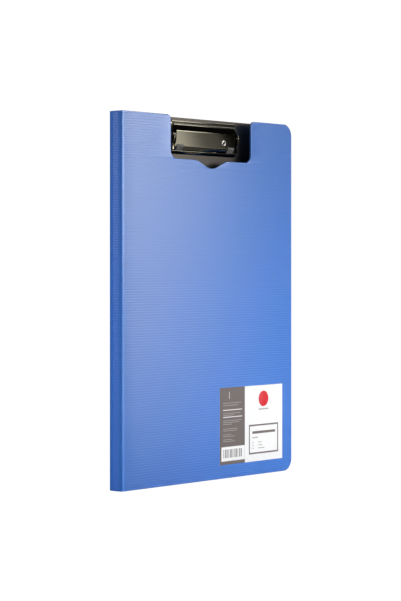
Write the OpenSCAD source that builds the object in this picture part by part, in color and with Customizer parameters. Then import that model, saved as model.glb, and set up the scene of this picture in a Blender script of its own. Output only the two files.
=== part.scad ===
// A4 folding clipboard: two ribbed covers and a spine on living hinges, with a
// stiff writing board and a low spring clip inside the back cover.
// It stands upright: +Z runs up the spine, +X from the spine to the free edge
// and +Y from the front cover to the back cover.
// The origin is in the middle of the closed folder's base.

/* [Folder] */
// Width of each cover, from the spine's face to the free edge
cover_w = 230; // [222:1:260]
// Height of the covers and of the spine
cover_h = 315; // [300:1:340]
// Thickness of the closed folder, which is the spine's width
folder_t = 14; // [13.5:0.5:20]
// Thickness of the foamed sheet of the covers and the spine
sheet_t = 1.8; // [1.4:0.1:2.1]
// Radius of the covers' two free corners
corner_r = 11; // [5:1:20]
// How much lower the back cover's top edge is than the front cover's
back_drop = 0.8; // [0:0.1:1.5]

/* [Living hinges] */
// Width of the pressed band at each side of the spine
band_w = 3.3; // [2.5:0.1:4.5]
// Thickness that the press leaves in a band
band_t = 0.6; // [0.4:0.1:0.8]
// Gap between a band and the cover that folds on it
fold_gap = 0.3; // [0.2:0.05:0.5]

/* [Writing board] */
// Thickness of the writing board
board_t = 1.2; // [1:0.1:2.4]
// How far the board stays back from the covers' top, bottom and free edges
board_inset = 0.8; // [0.5:0.1:4]
// Distance from the spine's face to the board
board_spine_gap = 4; // [3:0.5:10]
// Radius of the board's corners beside the spine
board_corner_r = 2; // [1:0.5:6]

/* [Clip notch] */
// Width of the notch in the front cover's top edge
notch_w = 109; // [98:0.5:130]
// Depth of the notch below the cover's top edge
notch_h = 37.1; // [33:0.1:45]
// Radius of the notch's two bottom corners
notch_r = 7.5; // [3:0.5:12]
// Radius of the two corners where the notch leaves the top edge
notch_lip_r = 4.5; // [1:0.5:8]
// Width of the finger dip in the notch's lower edge
dip_w = 49; // [30:1:70]
// Depth of the finger dip
dip_h = 6.9; // [3:0.1:10]

/* [Clip base] */
// Length of the base plate
clip_l = 87; // [80:1:92]
// Height of the base plate
clip_h = 29.4; // [29:0.1:31]
// Distance from the board's top edge down to the base plate
clip_drop = 2.2; // [1:0.1:4]
// Thickness of the base's sheet steel
base_t = 1; // [0.8:0.1:1.2]
// Width of the beaded bar along the base's top edge
bar_w = 2.2; // [1.8:0.1:2.4]
// Height of the bead above the board
bead_h = 1.9; // [1.5:0.1:2.2]
// Height of the opening below the bar, into which the thumb edge dips
window_h = 6.3; // [5.5:0.1:7]
// Radius of the base's two upper corners
base_corner_r = 3; // [1:0.5:3]
// Width of the lip along the base's lower edge, which slopes down to the board
lip_w = 2.8; // [2:0.1:3]
// Height of the lip's crest above the plate
lip_h = 0.9; // [0.3:0.1:1]
// Thickness of the upright ear at each end
ear_t = 1; // [0.8:0.1:1.4]
// Radius of the ear round the pin
ear_r = 2.5; // [2:0.1:2.7]
// Height of the ear's waist above the board, between the pin and the jaw
ear_waist_h = 3.1; // [2.5:0.1:3.8]
// Height of the ear's foot above the board, beside the jaw
ear_foot_h = 3.5; // [3:0.1:4.5]

/* [Pivot] */
// Distance from the base's top edge down to the pin
pin_s = 12.6; // [12:0.1:13]
// Height of the pin's centre above the board
pin_h = 3.4; // [3.3:0.1:3.6]
// Diameter of the pin
pin_d = 2; // [1.6:0.1:2.1]
// Diameter of the pin's heads
pin_head_d = 3.2; // [2.8:0.1:4]
// Thickness of the pin's heads
pin_head_t = 0.8; // [0.5:0.1:1.2]
// Radial clearance of the press plate's lugs on the pin
pin_play = 0.05; // [0.02:0.01:0.1]
// Gap between the lugs and the base plate
lug_gap = 0.5; // [0.3:0.1:0.7]
// Diameter of the spring wire
wire_d = 0.8; // [0.6:0.05:0.85]
// Turns in each spring
spring_turns = 4; // [3:1:6]
// Distance of each spring from the clip's middle
spring_x = 14; // [10:1:18]

/* [Press plate] */
// Thickness of the press plate's sheet steel
plate_t = 0.9; // [0.7:0.1:1]
// Distance from the base's top edge down to the thumb edge
thumb_s = 4.2; // [3.8:0.1:4.6]
// Height of the thumb edge's centre above the board
thumb_h = 2.9; // [2.9:0.1:3.6]
// Radius of the rolled thumb edge
roll_r = 0.9; // [0.7:0.05:0.95]
// Distance from the base's top edge down to the crest's corner
crest_s = 9.5; // [9:0.1:9.8]
// Height of the crest's corner above the board
crest_h = 6.3; // [6.1:0.1:7]
// Radius of the crest's bend
crest_r = 1; // [0.8:0.1:3]
// Distance from the base's top edge down to the jaw's edge
jaw_s = 25.5; // [25:0.1:25.6]
// Width of the turned-in jaw
jaw_w = 3.5; // [2.8:0.1:3.8]
// Angle between the jaw and the board
jaw_a = 31; // [24:1:40]
// Radius of the bend at the jaw
jaw_r = 1.2; // [0.8:0.1:2]
// Gap between the press plate and the ear that its springs push it towards
end_gap = 0.5; // [0.3:0.1:1]
// Play of the press plate along the pin, at its other end
end_play = 2.4; // [0:0.1:3]
// Radius of the shallow cut in each end of the press plate, below the pin
end_cut_r = 12; // [10:0.5:14]
// Depth of the cuts
end_cut_d = 0.8; // [0.4:0.1:1]
// Distance from the base's top edge down to the middle of the cuts
end_cut_s = 17.5; // [17:0.1:18]
// Height of the flange that turns down along each cut
end_flange_h = 2; // [1:0.1:2.2]

/* [Grips and eyelet] */
// Thickness of the rubber grips round the jaw
grip_t = 0.5; // [0.3:0.05:0.7]
// Length of each grip along the jaw
grip_l = 8.3; // [6:0.1:10]
// Distance from each end of the press plate to the grip beside it
grip_end = 2.4; // [2:0.1:5]
// Gap between the grips and the base plate when the clip is shut
jaw_gap = 0.3; // [0.2:0.05:0.5]
// Outside diameter of the eyelet in the press plate
eyelet_d = 5.4; // [4.6:0.1:6]
// Diameter of the eyelet's bore
eyelet_bore = 2.6; // [2:0.1:3]
// Distance from the right-hand end of the press plate to the eyelet's middle
eyelet_end = 17.1; // [16:0.1:20]
// Distance from the base's top edge down to the eyelet
eyelet_s = 17.6; // [17:0.1:18.4]

/* [Rivets] */
// Diameter of the rivets that hold the clip
rivet_d = 3; // [2.5:0.1:3.5]
// Diameter of the rivets' heads
rivet_head_d = 6; // [5:0.1:6.4]
// Height of the rivets' heads
rivet_head_h = 0.9; // [0.6:0.1:1.2]
// Distance from each end of the base plate to the rivet beside it
rivet_end = 15.5; // [15:0.5:17.5]
// Distance from the base's top edge down to the rivets
rivet_s = 18.5; // [17.5:0.1:18.5]
// Diameter of the caps let into the back cover
cap_d = 9; // [8:0.5:12]
// Thickness of the caps
cap_t = 0.8; // [0.5:0.1:1]
// Radial clearance of the rivets in their holes
rivet_play = 0.05; // [0.02:0.01:0.1]

/* [Label] */
// Width of the paper label
label_w = 89; // [60:1:110]
// Height of the label
label_h = 67.5; // [40:0.5:90]
// Thickness of the label, which is let into the ribs
label_t = 0.15; // [0.1:0.05:0.3]
// Distance from the label to the cover's free edge
label_side = 14; // [12:1:40]
// Distance from the label to the cover's lower edge
label_base = 12; // [12:1:60]

/* [Inner pocket] */
// Thickness of the pocket's clear sheet
pocket_t = 0.4; // [0.3:0.1:0.6]
// Height of the pocket at the spine
pocket_h = 150; // [90:1:200]
// How much lower the pocket's mouth is at the free edge
pocket_slope = 40; // [0:1:60]
// Distance from the pocket to the cover's edges
pocket_margin = 6; // [4:1:20]

/* [Hidden] */
$fn = 48;

BLUE = [0.31, 0.50, 0.80];
BAND_BLUE = [0.23, 0.41, 0.68];
BLACK = [0.09, 0.09, 0.10];
NICKEL = [0.36, 0.35, 0.32];
RUBBER = [0.25, 0.25, 0.24];
PAPER = [0.95, 0.95, 0.93];
CLEAR = [0.80, 0.86, 0.92, 0.5];

cut = 1;                              // how far a cutting shape runs past a face
steps = 10;                           // facets in each bend of a sheet

spine_x = -cover_w / 2;               // the spine's outer face
edge_x = cover_w / 2;                 // the covers' free edge
front_y = -folder_t / 2;              // the front cover's outer face
back_y = folder_t / 2;                // the back cover's outer face
hinge_x = spine_x + band_t + fold_gap;  // where both covers begin

// The board and everything on it: `face_y` is the face that the clip sits on
face_y = back_y - sheet_t - board_t;
board_x = spine_x + board_spine_gap;
board_w = edge_x - board_inset - board_x;
clip_x = board_x + board_w / 2;
clip_top = cover_h - board_inset - clip_drop;

// The press plate's corners, as [distance below the base's top edge, height above the board]
jaw_h = base_t + jaw_gap + (plate_t / 2 + grip_t) * cos(jaw_a) + grip_t * sin(jaw_a);
PIN = [pin_s, pin_h];
THUMB = [thumb_s, thumb_h];
CREST = [crest_s, crest_h];
JAW_EDGE = [jaw_s, jaw_h];
JAW_BEND = JAW_EDGE - jaw_w * [cos(jaw_a), -sin(jaw_a)];
window_w = clip_l - 2 * ear_t - end_gap;
plate_l = window_w - end_gap - end_play;
plate_x = -end_play / 2;              // the plate's middle, from the clip's middle
grip_x = plate_l / 2 - grip_end - grip_l / 2;
eyelet_x = plate_l / 2 - eyelet_end;
rivet_x = clip_l / 2 - rivet_end;
face_a = atan2(CREST[1] - JAW_BEND[1], JAW_BEND[0] - CREST[0]);
lug_r = pin_h - base_t - lug_gap;
coil_r = pin_d / 2 + 0.1 + wire_d / 2;  // mean radius of the springs

// ---- a bent sheet, drawn in section ----

function unit(v) = v / norm(v);
function left(v) = [-v[1], v[0]];
function turned(v, a) = [v[0] * cos(a) - v[1] * sin(a), v[0] * sin(a) + v[1] * cos(a)];
function turn(a, b) = atan2(a[0] * b[1] - a[1] * b[0], a * b);

// Points of the bend at corner p, from direction a to direction b, `off` to the left
function bend(p, a, b, r, off) =
    let (phi = turn(a, b), s = sign(phi),
         c = p - a * r * tan(abs(phi) / 2) + s * r * left(a))
    [for (k = [0 : steps]) c - s * (r - s * off) * left(turned(a, phi * k / steps))];

// One side of a sheet that runs along `pts` with the bend radii `rs`
function side(pts, rs, off) =
    let (n = len(pts), d = [for (i = [0 : n - 2]) unit(pts[i + 1] - pts[i])])
    concat(
        [pts[0] + off * left(d[0])],
        [for (i = [1 : n - 2]) each bend(pts[i], d[i - 1], d[i], rs[i - 1], off)],
        [pts[n - 1] + off * left(d[n - 2])]
    );

function backwards(l) = [for (i = [len(l) - 1 : -1 : 0]) l[i]];
function sheet(pts, rs, t) = concat(side(pts, rs, t / 2), backwards(side(pts, rs, -t / 2)));

plate_pts = [THUMB, CREST, JAW_BEND, JAW_EDGE];
plate_rs = [crest_r, jaw_r];
plate_section = sheet(plate_pts, plate_rs, plate_t);
under_plate = concat(side(plate_pts, plate_rs, 0), [[jaw_s, 0], [thumb_s, 0]]);

// ---- placing shapes on the board ----

// A section in [distance below the base's top edge, height above the board], drawn along X
module along_clip(x, length) {
    translate([clip_x + x, face_y, clip_top])
        rotate([90, 0, 90]) linear_extrude(length) mirror([1, 1]) children();
}

// Sheet-like plate in the XZ plane, from its outer face y to y + t
module upright(y, t) {
    translate([0, y + t, 0]) rotate([90, 0, 0]) linear_extrude(t) children();
}

// Something that stands on the board at [x, s], with its own +Z pointing off the board
module on_board(x, s) {
    translate([clip_x + x, face_y, clip_top - s]) rotate([90, 0, 0]) children();
}

// Rectangle with its corners rounded: r1 beside the spine and r2 at the free edge
module rounded(w, h, r1, r2) {
    translate([r1, 0]) square([w - r1 - r2, h]);
    translate([0, r1]) square([w / 2, h - 2 * r1]);
    translate([w / 2, r2]) square([w / 2, h - 2 * r2]);
    for (z = [r1, h - r1]) translate([r1, z]) circle(r1);
    for (z = [r2, h - r2]) translate([w - r2, z]) circle(r2);
}

module cover_outline(h) {
    translate([hinge_x, 0]) difference() {
        translate([-corner_r, 0]) rounded(edge_x - hinge_x + corner_r, h, 1, corner_r);
        translate([-corner_r - cut, -cut]) square([corner_r + cut, h + 2 * cut]);
    }
}

// Points of an arc round c, from angle a0 to angle a1
function arc(c, r, a0, a1) =
    [for (k = [0 : steps]) c + r * [cos(a0 + (a1 - a0) * k / steps), sin(a0 + (a1 - a0) * k / steps)]];

// Left half of the notch's edge, from the cover's top edge down to the dip's middle.
// The dip is half a wave of a cosine.
notch_side = concat(
    arc([-notch_w / 2 - notch_lip_r, -notch_lip_r], notch_lip_r, 90, 0),
    arc([notch_r - notch_w / 2, notch_r - notch_h], notch_r, 180, 270),
    [for (k = [0 : 2 * steps]) let (u = 1 - k / (2 * steps))
        [-u * dip_w / 2, -notch_h - dip_h * (1 + cos(180 * u)) / 2]]
);

// The notch, measured from the middle of the cover's top edge
module notch_outline() {
    reach = notch_w / 2 + notch_lip_r;
    right_side = [for (p = backwards(notch_side)) [-p[0], p[1]]];
    polygon(concat([[-reach, cut]], notch_side, [for (k = [1 : len(right_side) - 1]) right_side[k]],
                   [[reach, cut]]));
}

// ---- covers and spine ----

module back_cover() {
    color(BLUE) difference() {
        upright(back_y - sheet_t, sheet_t) cover_outline(cover_h - back_drop);
        for (x = [-rivet_x, rivet_x]) on_board(x, rivet_s) {
            translate([0, 0, -folder_t]) cylinder(d = rivet_d + 2 * rivet_play, h = folder_t);
            translate([0, 0, face_y - back_y - cut])
                cylinder(d = cap_d + 2 * rivet_play, h = cap_t + cut);
        }
    }
}

module front_cover() {
    color(BLUE) difference() {
        upright(front_y, sheet_t) difference() {
            cover_outline(cover_h);
            translate([clip_x, cover_h]) notch_outline();
        }
        translate([edge_x - label_side - label_w, front_y - cut, label_base])
            cube([label_w, cut + label_t, label_h]);
    }
}

module cover_label() {
    color(PAPER) translate([edge_x - label_side - label_w, front_y, label_base])
        cube([label_w, label_t, label_h]);
}

module inner_pocket() {
    left_x = hinge_x + pocket_margin;
    right_x = edge_x - pocket_margin;
    color(CLEAR) upright(front_y + sheet_t, pocket_t) polygon([
        [left_x, pocket_margin], [right_x, pocket_margin],
        [right_x, pocket_h - pocket_slope], [left_x, pocket_h]
    ]);
}

module spine_panel() {
    color(BLUE) translate([spine_x, front_y + band_w, 0])
        cube([sheet_t, folder_t - 2 * band_w, cover_h]);
}

module hinge_band(y) {
    color(BAND_BLUE) translate([spine_x, y, 0]) cube([band_t, band_w, cover_h]);
}

// ---- writing board and clip ----

module writing_board() {
    color(BLACK) difference() {
        upright(face_y, board_t) translate([board_x, board_inset])
            rounded(board_w, cover_h - 2 * board_inset, board_corner_r, corner_r - board_inset);
        for (x = [-rivet_x, rivet_x]) on_board(x, rivet_s) translate([0, 0, -board_t - cut])
            cylinder(d = rivet_d + 2 * rivet_play, h = board_t + 2 * cut);
    }
}

// Upright ear: a cheek that peaks round the pin and steps down towards the jaw
module ear_outline() {
    translate(PIN) circle(ear_r);
    polygon([
        [bar_w + base_t, base_t / 2],
        PIN + ear_r * [-0.74, 0.67],
        PIN + ear_r * [0.55, 0.83],
        PIN + ear_r * [1.75, 0.65],
        [jaw_s - 5, ear_waist_h],
        [jaw_s - 4.4, ear_foot_h],
        [jaw_s, ear_foot_h],
        [jaw_s + 0.6, base_t / 2]
    ]);
}

module base_section() {
    bead_r = bar_w / 2;
    lip_s = clip_h - lip_w;
    square([lip_s, base_t]);
    translate([bead_r, bead_h - bead_r]) circle(bead_r);
    polygon([
        [lip_s - lip_h, base_t], [lip_s, base_t + lip_h], [lip_s + lip_h / 3, base_t + lip_h],
        [clip_h, base_t / 2], [clip_h, 0], [lip_s - lip_h, 0]
    ]);
}

// The base seen square on, from its lower edge up to its two rounded corners
module base_outline() {
    r = base_corner_r;
    translate([-clip_l / 2, 0]) square([clip_l, clip_h - r]);
    translate([r - clip_l / 2, 0]) square([clip_l - 2 * r, clip_h]);
    for (end = [-1, 1]) translate([end * (clip_l / 2 - r), clip_h - r]) circle(r);
}

module clip_base() {
    color(NICKEL) difference() {
        union() {
            intersection() {
                along_clip(-clip_l / 2, clip_l) intersection() {
                    base_section();
                    square([clip_h, folder_t]);
                }
                on_board(0, clip_h) translate([0, 0, -cut]) linear_extrude(folder_t) base_outline();
            }
            for (x = [-clip_l / 2, clip_l / 2 - ear_t]) along_clip(x, ear_t) ear_outline();
        }
        on_board(-window_w / 2, bar_w + window_h) translate([0, 0, -cut])
            cube([window_w, window_h, base_t + 2 * cut]);
        for (x = [-rivet_x, rivet_x]) on_board(x, rivet_s) translate([0, 0, -cut])
            cylinder(d = rivet_d + 2 * rivet_play, h = base_t + 2 * cut);
        pin_bore(rivet_play);
    }
}

// The pin's line, as a cylinder wide enough to bore a running fit
module pin_bore(play) {
    on_board(-clip_l / 2 - cut, pin_s) translate([0, 0, pin_h])
        rotate([0, 90, 0]) cylinder(d = pin_d + 2 * play, h = clip_l + 2 * cut);
}

module pivot_pin() {
    color(NICKEL) on_board(0, pin_s) translate([0, 0, pin_h]) rotate([0, 90, 0]) {
        cylinder(d = pin_d, h = clip_l + 2 * pin_head_t, center = true);
        for (end = [-1, 1]) translate([0, 0, end * (clip_l + pin_head_t) / 2])
            cylinder(d = pin_head_d, h = pin_head_t, center = true);
    }
}

module rivet(x) {
    dome_r = (pow(rivet_head_d / 2, 2) + pow(rivet_head_h, 2)) / (2 * rivet_head_h);
    tail = back_y - face_y;
    color(NICKEL) on_board(x, rivet_s) {
        translate([0, 0, -tail]) cylinder(d = rivet_d, h = tail + base_t);
        translate([0, 0, base_t]) rotate_extrude() intersection() {
            translate([0, rivet_head_h - dome_r]) circle(dome_r, $fn = 160);
            square([rivet_head_d / 2, rivet_head_h]);
        }
    }
}

module rivet_cap(x) {
    color(NICKEL) on_board(x, rivet_s) translate([0, 0, face_y - back_y]) difference() {
        cylinder(d = cap_d, h = cap_t);
        translate([0, 0, -cut]) cylinder(d = rivet_d + 2 * rivet_play, h = cap_t + 2 * cut);
    }
}

// ---- springs ----

// The wire's centre line round the pin: a foot on the base, the turns, and an arm towards
// the thumb edge, as [distance along the clip, distance down from the pin, height off it]
foot_a = 8;                           // slope of the foot towards the base
arm_a = 50;                           // slope of the arm away from the base
foot_l = 3.4;
arm_l = 3;
coil_steps = 16;                      // points in each turn
coil_pitch = 1.15 * wire_d;

function on_coil(a) = [coil_pitch * a / 360, -coil_r * sin(a), -coil_r * cos(a)];
function coil_way(a) = [0, -cos(a), sin(a)];
spring_end = 360 * spring_turns + arm_a;
spring_path = concat(
    [on_coil(foot_a) - foot_l * coil_way(foot_a)],
    [for (k = [0 : coil_steps * spring_turns])
        on_coil(foot_a + (spring_end - foot_a) * k / (coil_steps * spring_turns))],
    [on_coil(spring_end) + arm_l * coil_way(spring_end)]
);

// A round wire of radius r along a path that mostly turns round the first axis
module wire(path, r, sides = 6) {
    n = len(path);
    ring = [for (i = [0 : n - 1])
        let (t = unit(path[min(i + 1, n - 1)] - path[max(i - 1, 0)]),
             u = unit(cross(t, [1, 0, 0])), v = cross(u, t))
        for (j = [0 : sides - 1])
            path[i] + r * cos(360 * j / sides) * u + r * sin(360 * j / sides) * v];
    skin = [for (i = [0 : n - 2]) for (j = [0 : sides - 1])
        let (a = i * sides + j, b = i * sides + (j + 1) % sides)
        each [[a, b, a + sides], [b, b + sides, a + sides]]];
    ends = [for (j = [1 : sides - 2]) each [
        [0, j + 1, j],
        [(n - 1) * sides, (n - 1) * sides + j, (n - 1) * sides + j + 1]]];
    polyhedron(ring, concat(skin, ends), convexity = 6);
}

module spring(x) {
    length = coil_pitch * spring_end / 360;
    color(NICKEL) translate([clip_x + x - length / 2, face_y - pin_h, clip_top - pin_s])
        wire([for (p = spring_path) [p[0], -p[2], -p[1]]], wire_d / 2);
}

// ---- press plate and what is on it ----

// Lug that turns down from the plate's end and holds the pin
module lug_outline() {
    translate(PIN) circle(lug_r);
    intersection() {
        polygon(under_plate);
        translate([pin_s - lug_r, pin_h]) square([2 * lug_r, crest_h]);
    }
}

// Something on the plate's main face at [x, s], with its own +Z square to the face
module on_plate(x, s) {
    h = crest_h - (s - crest_s) * tan(face_a);
    translate([clip_x + plate_x + x, face_y - h, clip_top - s])
        rotate([90 + face_a, 0, 0]) children();
}

// A section in [distance below the base's top edge, height], drawn along the press plate
module along_plate(x, length) {
    along_clip(plate_x + x, length) children();
}

// Cylinder that makes the cut in one end of the plate, `wider` than the cut itself
module end_cut(end, wider) {
    on_board(plate_x + end * (plate_l / 2 + end_cut_r - end_cut_d), end_cut_s)
        cylinder(r = end_cut_r + wider, h = folder_t, $fn = 160);
}

// The plate's outline with the flange that turns down along the cut in each end
module flanged_plate() {
    half_cut = sqrt(pow(end_cut_r, 2) - pow(end_cut_r - end_cut_d, 2));
    difference() {
        union() {
            along_plate(-plate_l / 2, plate_l) {
                polygon(plate_section);
                translate(THUMB) circle(roll_r);
            }
            for (end = [-1, 1]) intersection() {
                along_plate(-plate_l / 2, plate_l) intersection() {
                    difference() {
                        polygon(under_plate);
                        translate([0, -end_flange_h]) polygon(under_plate);
                    }
                    translate([end_cut_s - half_cut, 0]) square([2 * half_cut, folder_t]);
                }
                end_cut(end, plate_t);
            }
        }
        for (end = [-1, 1]) end_cut(end, 0);
    }
}

module press_plate() {
    color(NICKEL) difference() {
        union() {
            flanged_plate();
            for (x = [-plate_l / 2, plate_l / 2 - plate_t]) along_plate(x, plate_t) lug_outline();
        }
        pin_bore(pin_play);
        on_plate(eyelet_x, eyelet_s)
            cylinder(d = eyelet_d - 2 + 2 * rivet_play, h = 4 * plate_t, center = true);
    }
}

module grip(x) {
    reach = JAW_EDGE + grip_t * unit(JAW_EDGE - JAW_BEND);
    color(RUBBER) along_plate(x - grip_l / 2, grip_l) difference() {
        polygon(sheet([JAW_BEND - 1.4 * unit(JAW_BEND - CREST), JAW_BEND, reach],
                      [jaw_r], plate_t + 2 * grip_t));
        polygon(plate_section);
    }
}

// Rolled eyelet: a round upper rim, a thin barrel and a flat lower rim
module plate_eyelet() {
    bore_r = eyelet_bore / 2;
    rim_r = (eyelet_d / 2 - bore_r) / 2;
    barrel_w = eyelet_d / 2 - 1 - bore_r;
    color(NICKEL) on_plate(eyelet_x, eyelet_s) rotate_extrude() {
        translate([bore_r + rim_r, plate_t / 2]) intersection() {
            circle(rim_r);
            translate([-rim_r, 0]) square(2 * rim_r);
        }
        translate([bore_r, -plate_t / 2 - 0.3]) square([barrel_w, plate_t + 0.4]);
        translate([bore_r, -plate_t / 2 - 0.3]) square([eyelet_d / 2 - bore_r - 0.4, 0.3]);
    }
}

back_cover();
writing_board();
clip_base();
rivet(-rivet_x);  // rivet_left
rivet(rivet_x);  // rivet_right
rivet_cap(-rivet_x);  // rivet_cap_left
rivet_cap(rivet_x);  // rivet_cap_right
pivot_pin();
spring(-spring_x);  // spring_left
spring(spring_x);  // spring_right
press_plate();
grip(-grip_x);  // grip_left
grip(grip_x);  // grip_right
plate_eyelet();
hinge_band(back_y - band_w);  // rear_hinge_band
spine_panel();
hinge_band(front_y);  // front_hinge_band
front_cover();
cover_label();
inner_pocket();
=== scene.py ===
from math import atan2, cos, pi, radians, sin

import bmesh
import bpy
import numpy as np
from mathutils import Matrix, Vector


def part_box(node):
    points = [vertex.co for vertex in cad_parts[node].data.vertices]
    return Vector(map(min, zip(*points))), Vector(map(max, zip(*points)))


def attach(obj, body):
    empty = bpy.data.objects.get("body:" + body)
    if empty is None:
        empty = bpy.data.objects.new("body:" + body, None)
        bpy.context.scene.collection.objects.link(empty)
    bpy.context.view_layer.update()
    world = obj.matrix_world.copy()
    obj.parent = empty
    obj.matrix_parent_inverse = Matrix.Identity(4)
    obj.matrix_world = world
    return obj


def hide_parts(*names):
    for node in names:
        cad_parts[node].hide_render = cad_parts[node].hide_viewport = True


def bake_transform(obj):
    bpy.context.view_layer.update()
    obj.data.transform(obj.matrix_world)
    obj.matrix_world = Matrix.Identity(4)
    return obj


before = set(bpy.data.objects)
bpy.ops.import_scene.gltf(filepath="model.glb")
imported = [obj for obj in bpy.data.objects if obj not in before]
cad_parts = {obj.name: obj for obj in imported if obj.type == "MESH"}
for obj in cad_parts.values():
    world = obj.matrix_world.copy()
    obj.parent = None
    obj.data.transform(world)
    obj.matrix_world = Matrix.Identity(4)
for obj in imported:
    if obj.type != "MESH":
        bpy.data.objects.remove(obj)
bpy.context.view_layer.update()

MM = 0.001


def span(node):
    """Lowest and highest corner of a part of the folder, in millimetres."""
    low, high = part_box(node)
    return np.array(low) / MM, np.array(high) / MM


# ---- The table, the lights and the camera ----
# The folder stands on a white table. White cards on the right, high up and at the left are what
# the glossy faces mirror, low fills light only matt faces, and boxes above and behind light all.
# The table's mirrored light ends at the right, so that the clip mirrors the dark room beyond it.
table_left, table_right, table_front, table_back = -3.0, 2.2, -3.0, 5.0


def plain_material(name, colour, roughness):
    """Material with one Principled shader: returns the material, its nodes, links and shader."""
    material = bpy.data.materials.new(name)
    material.use_nodes = True
    nodes, links = material.node_tree.nodes, material.node_tree.links
    shader = nodes["Principled BSDF"]
    shader.inputs["Base Color"].default_value = (*colour, 1)
    shader.inputs["Roughness"].default_value = roughness
    return material, nodes, links, shader


def soft_box(name, place, target, width, height, radiance, lights="all"):
    """Rectangular lamp at `place`, facing `target`, that the camera doesn't see.

    `lights` is "all", "matt" for a lamp that no gloss mirrors, or "gloss" for a card that is
    only mirrored.
    """
    lamp = bpy.data.lights.new(name, "AREA")
    lamp.shape = "RECTANGLE"
    lamp.size, lamp.size_y = width, height
    lamp.energy = radiance * width * height * pi
    lamp_object = bpy.data.objects.new(name, lamp)
    bpy.context.scene.collection.objects.link(lamp_object)
    lamp_object.location = place
    way = Vector(target) - Vector(place)
    lamp_object.rotation_euler = way.to_track_quat("-Z", "Y").to_euler()
    lamp_object.visible_camera = False
    lamp_object.visible_glossy = lights != "matt"
    lamp_object.visible_diffuse = lights != "gloss"
    return lamp_object


# The camera sees the table pure white. A gloss sees it lit by the card: bright far in front,
# dim close to the folder, and fading out towards the far right in two steps.
table_material, table_nodes, table_links, table_shader = plain_material(
    "white_table", (0.8, 0.8, 0.8), 0.8)
table_place = table_nodes.new("ShaderNodeTexCoord")
table_xyz = table_nodes.new("ShaderNodeSeparateXYZ")
table_across = table_nodes.new("ShaderNodeVectorMath")
table_across.operation = "DOT_PRODUCT"
table_across.inputs[1].default_value = (1, 1, 0)
table_near, table_fade, table_end = [table_nodes.new("ShaderNodeMapRange") for _ in range(3)]
for ramp, start, end, low, high in ((table_near, -0.35, -0.80, 0.15, 1.40),
                                    (table_fade, 0.18, 0.28, 1.0, 0.17),
                                    (table_end, 0.326, 0.336, 1.0, 0.0)):
    ramp.interpolation_type = "SMOOTHSTEP"
    ramp.inputs["From Min"].default_value = start
    ramp.inputs["From Max"].default_value = end
    ramp.inputs["To Min"].default_value = low
    ramp.inputs["To Max"].default_value = high
table_glow, table_faded = [table_nodes.new("ShaderNodeMath") for _ in range(2)]
table_glow.operation = table_faded.operation = "MULTIPLY"
table_seen, table_mirrored = [table_nodes.new("ShaderNodeEmission") for _ in range(2)]
table_seen.inputs["Strength"].default_value = 1.05
table_ray = table_nodes.new("ShaderNodeLightPath")
table_gloss, table_camera = [table_nodes.new("ShaderNodeMixShader") for _ in range(2)]
table_links.new(table_place.outputs["Object"], table_xyz.inputs["Vector"])
table_links.new(table_xyz.outputs["Y"], table_near.inputs["Value"])
table_links.new(table_place.outputs["Object"], table_across.inputs[0])
table_links.new(table_across.outputs["Value"], table_fade.inputs["Value"])
table_links.new(table_across.outputs["Value"], table_end.inputs["Value"])
table_links.new(table_fade.outputs["Result"], table_faded.inputs[0])
table_links.new(table_end.outputs["Result"], table_faded.inputs[1])
table_links.new(table_near.outputs["Result"], table_glow.inputs[0])
table_links.new(table_faded.outputs["Value"], table_glow.inputs[1])
table_links.new(table_glow.outputs["Value"], table_mirrored.inputs["Strength"])
table_links.new(table_ray.outputs["Is Glossy Ray"], table_gloss.inputs["Fac"])
table_links.new(table_shader.outputs["BSDF"], table_gloss.inputs[1])
table_links.new(table_mirrored.outputs["Emission"], table_gloss.inputs[2])
table_links.new(table_ray.outputs["Is Camera Ray"], table_camera.inputs["Fac"])
table_links.new(table_gloss.outputs["Shader"], table_camera.inputs[1])
table_links.new(table_seen.outputs["Emission"], table_camera.inputs[2])
table_links.new(table_camera.outputs["Shader"], table_nodes["Material Output"].inputs["Surface"])
table_mesh = bpy.data.meshes.new("white_table")
table_mesh.from_pydata(
    [(table_left, table_front, 0), (table_right, table_front, 0),
     (table_right, table_back, 0), (table_left, table_back, 0)], [], [(0, 1, 2, 3)])
table_mesh.materials.append(table_material)
table = bpy.data.objects.new("white_table", table_mesh)
bpy.context.scene.collection.objects.link(table)

soft_box("card_right", (0.62, -0.95, 0.52), (0.62, 0.0, 0.52), 1.03, 0.66, 5.4, "gloss")
soft_box("card_high", (1.34, 0.27, 1.36), (0, 0, 0.3), 0.84, 0.7, 1.7, "gloss")
soft_box("card_left", (-1.2, 1.0, 0.65), (0, 0, 0.3), 0.34, 0.64, 1.5, "gloss")
soft_box("box_left", (-1.5, -1.5, 0.9), (0, 0, 0.3), 1.0, 1.0, 3.0, "gloss")
soft_box("fill_low_right", (0.22, -0.36, 0.10), (0.07, 0, 0.13), 0.3, 0.2, 4.1, "matt")
soft_box("fill_low_front", (0.0, -0.35, 0.05), (0.03, 0, 0.12), 0.3, 0.2, 2.4, "matt")
soft_box("fill_foot", (0.02, -0.15, 0.02), (0.02, 0, 0.06), 0.4, 0.06, 1.0, "matt")
soft_box("fill_left", (-0.4, 0.03, 0.10), (-0.115, 0, 0.14), 0.4, 0.4, 1.8, "matt")
soft_box("box_above", (0.0, 0.2, 2.3), (0.0, 0.2, 0), 2.0, 2.0, 1.3)
soft_box("box_behind", (1.4, 1.9, 1.3), (0, 0, 0.15), 1.4, 1.4, 3.4)

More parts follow.
